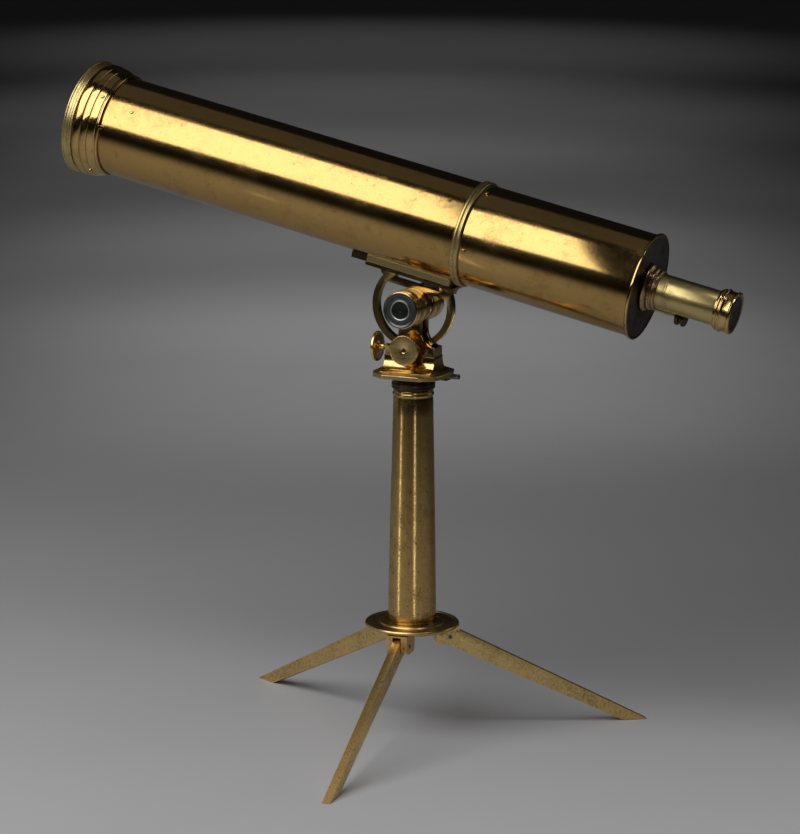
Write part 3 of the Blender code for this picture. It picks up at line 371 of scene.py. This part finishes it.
def makePiece(name, shape, finish, node, sharp=38, replace=True):
    # a finished object that rides on the body of a CAD node
    mesh = bpy.data.meshes.new(name)
    bmesh.ops.recalc_face_normals(shape, faces=shape.faces)
    shape.to_mesh(mesh)
    shape.free()
    mesh.shade_smooth()
    mesh.set_sharp_from_angle(angle=math.radians(sharp))
    piece = bpy.data.objects.new(name, mesh)
    bpy.context.scene.collection.objects.link(piece)
    mesh.materials.append(finishes[finish])
    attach(piece, bodyOf[node])
    if replace:
        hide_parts(node)
    return piece


def turned(name, profile, finish, node, place, steps=96, width=0.35, replace=True):
    return makePiece(name, turnedShape(profile, place, steps, width), finish, node, replace=replace)


def softened(name, finish, node, width=0.35, segments=2, sharp=32):
    # a copy of a CAD piece with its edges broken
    shape = bmesh.new()
    shape.from_mesh(frame["nodes"][node].data)
    bmesh.ops.remove_doubles(shape, verts=shape.verts, dist=2e-6)
    bmesh.ops.dissolve_limit(shape, angle_limit=math.radians(1), verts=shape.verts, edges=shape.edges)
    edges = [edge for edge in shape.edges
             if len(edge.link_faces) == 2 and edge.calc_face_angle(0) > math.radians(sharp)]
    bmesh.ops.bevel(shape, geom=edges, offset=width * mm, offset_type="OFFSET", segments=segments,
                    profile=0.5, affect="EDGES", material=-1, clamp_overlap=True)
    return makePiece(name, shape, finish, node, sharp=20)


# the barrel, in millimetres along the tube from the altitude axis, + towards the eye
tubePlace = tubeFrame @ alongX
tubeSizes = dict(radius=53.5, wall=1.2, rearRadius=53.9, rearWall=1.4, mouth=-402.0, joint=49.9,
                 rearStart=50.2, rearEnd=241.1, slotPlace=-342.0, slotLength=20.4, slotHalf=1.6, margin=6,
                 steps=128)


def slottedBarrel():
    # the front tube, with the slot that the small mirror's arm slides along
    t = tubeSizes
    outer, inner = t["radius"], t["radius"] - t["wall"]
    slotStart = t["slotPlace"] - t["slotLength"] / 2
    slotEnd = slotStart + t["slotLength"]
    low, high = slotStart - t["margin"], slotEnd + t["margin"]
    front, rear = t["mouth"] + 1, t["joint"] - 0.3
    shape = turnedShape([(outer, rear), (outer, high), (outer, low), (outer, front), (inner, front),
                         (inner, low), (inner, high), (inner, rear)],
                        Matrix.Rotation(math.pi, 4, "Z"), t["steps"])
    # local +X is turned onto the rod's side, cut, and the two walls joined round the slot
    bmesh.ops.transform(shape, matrix=Matrix.Rotation(math.pi / t["steps"], 4, "Z"), verts=shape.verts)

    def facesWithin(halfWidth, start, end):
        centres = ((face, face.calc_center_median() / mm) for face in shape.faces)
        return [face for face, at in centres
                if at.x > inner / 2 and abs(at.y) < halfWidth and start < at.z < end]

    for co, no in (((0, 0, slotStart * mm), (0, 0, 1)), ((0, 0, slotEnd * mm), (0, 0, 1)),
                   ((0, t["slotHalf"] * mm, 0), (0, 1, 0)), ((0, -t["slotHalf"] * mm, 0), (0, 1, 0))):
        near = facesWithin(t["margin"], low - 1, high + 1)
        parts = set(near)
        for face in near:
            parts |= set(face.edges) | set(face.verts)
        bmesh.ops.bisect_plane(shape, geom=list(parts), dist=1e-7, plane_co=co, plane_no=no)
    inside = facesWithin(t["slotHalf"], slotStart, slotEnd)
    rims = list({edge for face in inside for edge in face.edges
                 if sum(other in inside for other in edge.link_faces) == 1})
    bmesh.ops.delete(shape, geom=inside, context="FACES_KEEP_BOUNDARY")
    bmesh.ops.bridge_loops(shape, edges=rims)
    bmesh.ops.transform(shape, matrix=rodFrame @ alongX @ Matrix.Rotation(math.pi, 4, "Z"), verts=shape.verts)
    return makePiece("front_barrel", shape, "tube", "front_tube")


slottedBarrel()
outside, inside = tubeSizes["rearRadius"], tubeSizes["rearRadius"] - tubeSizes["rearWall"]
start, end = tubeSizes["rearStart"], tubeSizes["rearEnd"]
turned("rear_barrel", [(outside, end), (outside, start), (inside, start), (inside, end)],
       "tube", "rear_tube", tubePlace, 128)
turned("double_joint_ring", [
    (55.2, 54.3), *bead(55.4, 52.5, 1.6, 1.2), (55.3, 50.6), (55.3, 50.1), *bead(55.4, 47.9, 1.9, 1.2),
    (55.0, 45.5), (54.2, 45.5), (54.2, 54.3)], "tubePale", "joint_ring", tubePlace, 128, 0.15)
turned("muzzle_ring", [
    (54.3, -373.4), (55.6, -373.8), (56.2, -374.8), (56.2, -375.8), (55.6, -376.8), (55.5, -377.6),
    (56.2, -378.2), (57.0, -380.5), (57.9, -383.6), (58.4, -384.9), (58.0, -385.1), (58.0, -385.5),
    (58.8, -385.8), (59.5, -387.5), (60.0, -390.0), (60.0, -392.4), (59.6, -392.8), (59.6, -393.2),
    (60.3, -393.5), (61.0, -394.8), (61.4, -397.0), (61.4, -399.5), (61.0, -401.4), (60.3, -402.6),
    (59.8, -403.0), (53.8, -403.0), (53.8, -373.4)], "tubePolished", "mouth_ring", tubePlace, 128, 0.2)
turned("push_on_cap", [
    (0, -411.5), (50.0, -411.5), (50.9, -411.0), (50.9, -395.3), (51.7, -395.3), (51.7, -403.3),
    (60.9, -403.3), (61.3, -404.2), (61.3, -405.5), (60.9, -405.7), (60.9, -406.0), (61.3, -406.2),
    (61.25, -408.3), (60.85, -408.5), (60.85, -408.8), (61.2, -409.0), (61.2, -411.0), (61.3, -411.6),
    (62.3, -412.0), (62.4, -413.3), (61.6, -413.9), (52.0, -413.9), (51.0, -413.4), (49.0, -413.3),
    (0, -413.3)],
    "tubePale", "dust_cap", tubePlace, 128, 0.3)
turned("rear_plate", [
    (17.0, 243.8), (53.0, 243.8), (53.6, 244.1), *bead(55.0, 243.4, 1.1, 1.2, 4), (56.2, 242.0),
    (55.9, 241.4), (52.2, 241.4), (52.2, 237.4), (50.2, 237.4), (50.2, 240.6), (17.0, 240.6)],
    "tubeDark", "back_plate", tubePlace, 128, 0.2)
turned("rear_plate_rim", [
    (55.2, 244.4), (56.2, 244.25), (56.5, 243.6), (56.3, 242.2), (55.2, 242.2)],
    "tubePolished", "back_plate", tubePlace, 128, 0.12, replace=False)
turned("eyepiece_boss", [
    (18.9, 258.4), (20.4, 257.8), *bead(20.3, 256.3, 1.1, 1.0), (20.4, 254.8), (20.3, 253.4), (21.0, 252.8),
    (21.9, 252.4), (22.2, 251.6), (22.2, 249.4), (21.8, 248.9), (21.9, 248.4), (23.0, 248.0), (23.6, 247.2),
    (24.6, 246.6), (24.9, 245.8), (24.7, 244.8), (16.7, 244.7), (16.7, 238.4), (14.7, 238.4), (14.7, 247.0),
    (18.5, 247.0), (18.5, 258.4)], "tubeBrown", "eye_boss", tubePlace, 96, 0.2)
turned("eyepiece_tube", [
    (18.2, 326.1), (18.2, 268.2), (18.05, 268.0), (18.05, 267.7), (18.2, 267.5), (18.2, 266.2),
    (18.05, 266.0), (18.05, 265.7), (18.2, 265.5), (18.2, 247.3), (16.6, 247.3), (16.6, 326.1)],
    "tubePale", "eye_tube", tubePlace, 96, 0.1)
turned("eyepiece_cap", [
    (1.6, 337.6), (3.0, 337.9), (8.0, 338.4), (13.5, 339.0), (18.0, 339.6), (20.4, 340.5), (21.9, 339.9),
    (22.2, 338.2), (21.6, 337.2), (21.2, 336.6), (21.2, 330.4), (21.6, 329.6), *bead(21.6, 328.5, 1.0, 1.0),
    (21.0, 327.2), (20.7, 326.4), *bead(20.7, 324.4, 1.3, 1.0), (20.5, 322.6), (20.1, 321.5), (18.5, 321.5),
    (18.5, 326.4), (16.3, 326.4), (7.0, 336.4), (1.6, 336.4)], "eyeCap", "eye_cap", tubePlace, 96, 0.15)
# a thin dark disc over the eye cap's face: painted dark reflection of the unlit side that the face sees at a
# grazing angle
turned("painted_dark_eye_face", [
    (1.7, 337.9), (2.6, 338.3), (8.0, 338.7), (13.5, 339.3), (17.0, 339.8), (17.6, 340.0), (17.6, 339.2),
    (8.0, 338.0), (1.7, 337.3)], "tubeDark", "eye_cap", tubePlace, 96, 0.12, replace=False)
print("tube made")

# small round-headed screws: the top is taper times as wide as the foot, its edge broken by edge and drop
screwSizes = dict(head=2.3, height=1.1, taper=0.86, edge=0.25, drop=0.22, slot=0.35, depth=0.5, turn=37)


def screwShape(place):
    s = screwSizes
    shape = bmesh.new()
    bmesh.ops.create_cone(shape, cap_ends=True, segments=24, radius1=s["head"] * mm,
                          radius2=s["head"] * s["taper"] * mm, depth=2 * s["height"] * mm)
    top = max(shape.faces, key=lambda face: face.calc_center_median().z)
    bmesh.ops.inset_region(shape, faces=[top], thickness=s["edge"] * mm, depth=s["drop"] * mm)
    for side in (1, -1):
        bmesh.ops.bisect_plane(shape, geom=[top, *top.edges, *top.verts], dist=1e-7,
                               plane_co=(0, side * s["slot"] * mm, 0), plane_no=(0, side, 0))
        top = min((face for face in shape.faces if face.normal.z > 0.9 and len(face.verts) > 3),
                  key=lambda face: abs(face.calc_center_median().y))
    sunk = bmesh.ops.extrude_face_region(shape, geom=[top])
    bmesh.ops.translate(shape, vec=(0, 0, -s["depth"] * mm),
                        verts=[item for item in sunk["geom"] if isinstance(item, bmesh.types.BMVert)])
    bmesh.ops.delete(shape, geom=[top], context="FACES_ONLY")
    bmesh.ops.transform(shape, matrix=place, verts=shape.verts)
    return shape


# where each one sits: along the tube, degrees from the top towards the near side, radius
barrelScrews = [(-344.0, 57.9, 53.5), (28.2, 47.6, 53.5), (60.1, 23.2, 53.9), (59.4, 98.7, 53.9),
                (-381.3, 51.9, 57.6), (-386.3, 146.7, 58.6), (-372.5, 84.9, 54.9)]
for number, (along, degrees, radius) in enumerate(barrelScrews, 1):
    place = (tubeFrame @ Matrix.Translation((along * mm, 0, 0))
             @ Matrix.Rotation(math.radians(degrees), 4, "X")
             @ Matrix.Translation((0, 0, radius * mm))
             @ Matrix.Rotation(math.radians(screwSizes["turn"] * number), 4, "Z"))
    makePiece(f"barrel_screw_{number}", screwShape(place), "tubePolished", "front_tube", replace=False)

# focusing rod, its knob, brackets and the carriage
rodSizes = dict(radius=2.1, offset=60.3, front=-372.0, rear=275.9, point=0.3)
rodPlace = rodFrame @ Matrix.Translation((0, 0, rodSizes["offset"] * mm)) @ alongX
turned("focusing_rod", [
    (0, rodSizes["rear"]), (rodSizes["radius"], rodSizes["rear"] - rodSizes["point"]),
    (rodSizes["radius"], rodSizes["front"] + rodSizes["point"]), (0, rodSizes["front"])],
    "rodPale", "focus_rod", rodPlace, 32)
turned("focusing_knob", [
    (2.2, 277.9), (8.2, 277.9), (9.0, 277.3), (9.2, 276.2), (9.2, 274.6), (8.4, 274.0), (6.2, 273.6),
    (5.9, 272.6), (6.2, 271.6), (8.4, 271.2), (9.2, 270.6), (9.2, 268.2), (8.4, 266.9), (2.2, 266.9)],
    "tubeDark", "focus_knob", rodPlace, 64, 0.3)
for node in ("rod_bracket_front", "rod_bracket_rear", "mirror_carriage"):
    softened(f"{node}_soft", "rodPale", node, 0.5, 3)
for node in ("saddle_rail_near", "saddle_rail_far"):
    softened(f"{node}_soft", "saddlePale", node, 0.3, 2)
softened("dovetail_bar_soft", "saddleDark", "dovetail_bar", 0.3, 2)
softened("altitude_wheel_soft", "wheel", "altitude_wheel", 0.35, 2)
print("saddle and focuser made")

# head: bracket, plate, drums, knobs
softened("head_bracket_soft", "head", "head_bracket", 0.45, 3)
softened("head_plate_soft", "plate", "head_plate", 0.6, 2)
for side in ("left", "right"):
    softened(f"worm_bearing_{side}_soft", "head", f"worm_bearing_{side}", 0.4, 2)
for side, facing in (("near", alongMinusY), ("far", alongY)):
    turned(f"drum_{side}_turned", [
        (19.0, 37.2), (19.8, 36.5), (19.8, 33.4), (19.1, 32.9), (19.1, 32.4), (19.8, 31.9), (19.8, 30.4),
        (19.0, 29.8), (19.0, 29.2), (19.8, 28.6), (19.8, 16.0), (19.2, 15.5), (19.2, 15.0), (19.8, 14.5),
        (19.8, 11.3), (5.7, 11.3), (5.7, 33.0), (17.3, 33.0), (17.3, 37.2)],
        "drum", f"drum_{side}", headFrame @ facing, 96, 0.2)
    turned(f"drum_cap_{side}_turned", [
        (0, 36.2), (1.0, 36.2), (1.2, 37.0), (1.6, 37.25), (8.6, 37.3), (9.4, 37.5), (10.0, 37.85),
        (10.7, 37.85), (11.1, 37.3), (15.6, 37.1), (16.6, 37.4), (17.6, 38.1), (18.4, 38.1), (18.9, 37.6),
        (18.9, 37.25),
        (17.0, 37.25), (17.0, 33.3), (0, 33.3)], "cap", f"drum_cap_{side}", headFrame @ facing, 96, 0.12)
wormLow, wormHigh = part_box("altitude_worm")
wormHeight = (wormLow.z + wormHigh.z) / 2
wormPlace = Matrix.Translation((pivot.x, pivot.y, wormHeight)) @ alongX
turned("altitude_knob_turned", [
    (2.2, -28.8), (3.8, -28.8), (4.2, -29.6), (4.1, -30.8), (3.1, -32.4), (2.8, -34.0), (3.1, -36.0),
    (4.2, -38.2), (6.4, -39.6), (12.4, -40.1), (13.8, -40.3), (15.6, -39.9), (16.2, -40.8), (16.2, -42.4),
    (15.5, -43.3), (13.4, -42.9), (12.8, -42.4), (6.0, -42.1), (2.2, -42.0)],
    "knobX", "altitude_knob", wormPlace, 96, 0.25)
clampLow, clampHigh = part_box("clamp_knob")
clampPlace = Matrix.Translation((pivot.x, pivot.y, (clampLow.z + clampHigh.z) / 2)) @ alongMinusY
turned("clamp_knob_turned", [
    (2.1, 26.0), (2.3, 27.2), (2.9, 27.6), (14.6, 28.2), (15.6, 28.1), (16.2, 27.2), (16.2, 25.6),
    (15.7, 24.5), (14.0, 23.9), (6.4, 23.5), (4.6, 22.8), (3.8, 21.2), (3.7, 18.6), (4.2, 15.6), (4.6, 13.6),
    (4.6, 12.2), (2.5, 12.2), (2.5, 25.6)], "drum", "clamp_knob", clampPlace, 96, 0.15)
print("head made")

# stand: pillar, collar, disc, legs
pillarTop, pillarBase = pillarHigh.z / mm, pillarLow.z / mm
pillarSizes = dict(foot=25.8, taper=4.6, swell=1.25, neckDrop=5.0, low=12, high=3.4, steps=12)
neck = pillarTop - pillarSizes["neckDrop"]
shaftLow, shaftHigh = pillarBase + pillarSizes["low"], neck - pillarSizes["high"]
shaft = []
for i in range(pillarSizes["steps"] + 1):
    rise = 1 - i / pillarSizes["steps"]
    shaft.append((pillarSizes["foot"] - pillarSizes["taper"] * rise ** pillarSizes["swell"],
                  shaftLow + (shaftHigh - shaftLow) * rise))
turned("pillar_turned", [
    (20.4, pillarTop), (21.2, pillarTop - 0.8), (21.3, neck + 2.6), *bead(21.2, neck, 2.0, 0.9),
    (21.0, neck - 2.6), *shaft, (pillarSizes["foot"], pillarBase + 2.2), (25.2, pillarBase + 1.4),
    (25.3, pillarBase), (15.0, pillarBase), (15.0, pillarTop)],
    "pillar", "pillar", standFrame, 128, 0.2)
turned("base_disc_turned", [
    (0, 141.4), (14.7, 141.4), (14.7, 123.4), (29.3, 123.4), (29.6, 124.0), (30.4, 124.5), (31.6, 124.4),
    (33.0, 124.0), (34.4, 123.6), (35.4, 122.4), (36.6, 121.8), (46.6, 121.7), (47.2, 122.4), (48.2, 122.9),
    (49.9, 122.6), (50.8, 121.2), (50.6, 119.8), (49.4, 118.6), (47.8, 118.0), (0, 118.0)],
    "disc", "base_disc", standFrame, 128, 0.2)
# the azimuth wheel: its teeth are cut in the band above low and outside reach
toothSizes = dict(count=46, steps=4, gap=0.5, depth=0.8, low=385.2, reach=20.5)
toothShape = turnedShape([
    (22.0, 392.0), (22.0, 384.9), (22.8, 384.7), (23.2, 384.2), (23.2, 382.0), (22.8, 381.6), (23.2, 381.2),
    (23.2, 379.2), (22.0, 377.8), (12.0, 377.8), (12.0, 392.0)],
    standFrame, toothSizes["count"] * toothSizes["steps"], 0.2)
toothTurn = math.radians(360 / toothSizes["count"])
for vertex in toothShape.verts:
    here = vertex.co - pillarFoot
    if here.z > toothSizes["low"] * mm and here.xy.length > toothSizes["reach"] * mm:
        phase = (math.atan2(here.y, here.x) / toothTurn) % 1
        if phase < toothSizes["gap"]:
            vertex.co -= Vector((here.x, here.y, 0)).normalized() * toothSizes["depth"] * mm
makePiece("azimuth_wheel_cut", toothShape, "collar", "azimuth_wheel")
for number in (1, 2, 3):
    softened(f"leg_{number}_soft", f"leg{number}", f"leg_{number}", 0.55, 3)
    softened(f"leg_lug_{number}_soft", "base", f"leg_lug_{number}", 0.4, 2)
print("stand made")

# floor, lights and camera
floorSizes = dict(half=14.0, drop=0.0004)
floorShape = bmesh.new()
bmesh.ops.create_grid(floorShape, x_segments=1, y_segments=1, size=floorSizes["half"],
                      matrix=Matrix.Translation((0, 0, -floorSizes["drop"])))
floorMesh = bpy.data.meshes.new("floor")
floorShape.to_mesh(floorMesh)
floorShape.free()
floor = bpy.data.objects.new("floor", floorMesh)
bpy.context.scene.collection.objects.link(floor)
floorFinish = Finish("paleFloor")
paper = floorFinish.noise(floorFinish.add("ShaderNodeTexCoord", output=3), 3.0, 3)
floorFinish.feed("Base Color", floorFinish.blend(paper, rgb(0.47, 0.47, 0.485), rgb(0.52, 0.52, 0.53)))
floorFinish.feed("Roughness", 0.85)
floorMesh.materials.append(floorFinish.material)


def areaLight(name, centre, towards, width, height, radiance, color=(1, 1, 1), spread=180):
    # a spread under 180 is a grid over the light, with the same radiance straight ahead
    light = bpy.data.lights.new(name, "AREA")
    light.shape = "RECTANGLE"
    light.size, light.size_y = width, height
    light.spread = math.radians(spread)
    half = light.spread / 2
    gain = 1 if spread == 180 else math.tan(half) / (math.tan(half) - half)
    light.energy = radiance * math.pi * width * height / gain
    light.color = color
    lamp = bpy.data.objects.new(name, light)
    centre = Vector(centre) + pillarFoot
    aim = (Vector(towards) + pillarFoot - centre).to_track_quat("-Z", "Y")
    lamp.matrix_world = Matrix.Translation(centre) @ aim.to_matrix().to_4x4()
    lamp.visible_camera = False
    bpy.context.scene.collection.objects.link(lamp)


# radiances; the world's is a plain grey
lights = dict(soft=3.1, stripLeft=3.0, stripRight=3.1, leftPanel=0.20, back=0.5, ceiling=0.08, world=0.008)
areaLight("softbox", (-0.55, -0.87, 1.25), (-0.55, -0.277, 0.445), 1.5, 1.18, lights["soft"])
areaLight("strip_left", (-0.354, -0.354, 0.155), (0, 0, 0.255), 0.040, 0.28, lights["stripLeft"], spread=64)
areaLight("strip_right", (0.272, -0.420, 0.155), (0, 0, 0.255), 0.038, 0.28, lights["stripRight"], spread=64)
areaLight("left_panel", (-1.7, 0.2, 0.7), (0, 0, 0.4), 1.4, 1.2, lights["leftPanel"], (1, 0.93, 0.82))
areaLight("back_panel", (2.0, 1.8, 1.2), (0, 0, 0.4), 1.4, 1.2, lights["back"])
areaLight("ceiling", (0, 0.5, 2.8), (0, 0, 0.5), 2.4, 1.6, lights["ceiling"])


# soft round lights on the floor: place, cone in degrees, watts
floorPools = {
    "pool_1": ((-0.55, 1.25, 2.1), 56, 10), "pool_2": ((-0.85, 2.0, 2.2), 56, 44),
    "pool_3": ((-1.3, 2.9, 2.6), 58, 51), "pool_4": ((-1.9, 4.2, 3.2), 56, 45),
    "pool_5": ((-2.6, 5.8, 3.6), 54, 59), "pool_6": ((-3.5, 8.0, 4.2), 54, 50),
    "pool_front": ((1.0, -0.3, 2.0), 66, 45),
}


def floorPool(name, place, cone, energy):
    light = bpy.data.lights.new(name, "SPOT")
    light.energy, light.spot_size = energy, math.radians(cone)
    light.spot_blend, light.shadow_soft_size = 1.0, 0.2
    lamp = bpy.data.objects.new(name, light)
    lamp.matrix_world = Matrix.Translation(pillarFoot + Vector(place))
    bpy.context.scene.collection.objects.link(lamp)


for name, values in floorPools.items():
    floorPool(name, *values)
world = bpy.data.worlds.new("studio")
bpy.context.scene.world = world
world.use_nodes = True
background = world.node_tree.nodes["Background"]
background.inputs["Color"].default_value = (lights["world"],) * 3 + (1,)

cameraValues = dict(place=(1.2387, -2.9505, 1.0033), heading=23.0254, down=11.603, roll=0.2789, lens=138.4)
cameraData = bpy.data.cameras.new("camera")
cameraData.sensor_fit, cameraData.sensor_width = "HORIZONTAL", 36
cameraData.lens = cameraValues["lens"]
cameraData.clip_end = 60
camera = bpy.data.objects.new("camera", cameraData)
camera.matrix_world = (Matrix.Translation(Vector(cameraValues["place"]) + pillarFoot)
                       @ Matrix.Rotation(math.radians(cameraValues["heading"]), 4, "Z")
                       @ Matrix.Rotation(math.radians(90 - cameraValues["down"]), 4, "X")
                       @ Matrix.Rotation(math.radians(cameraValues["roll"]), 4, "Z"))
bpy.context.scene.collection.objects.link(camera)
bpy.context.scene.camera = camera
bpy.context.scene.view_settings.view_transform = "Standard"
print("studio made")
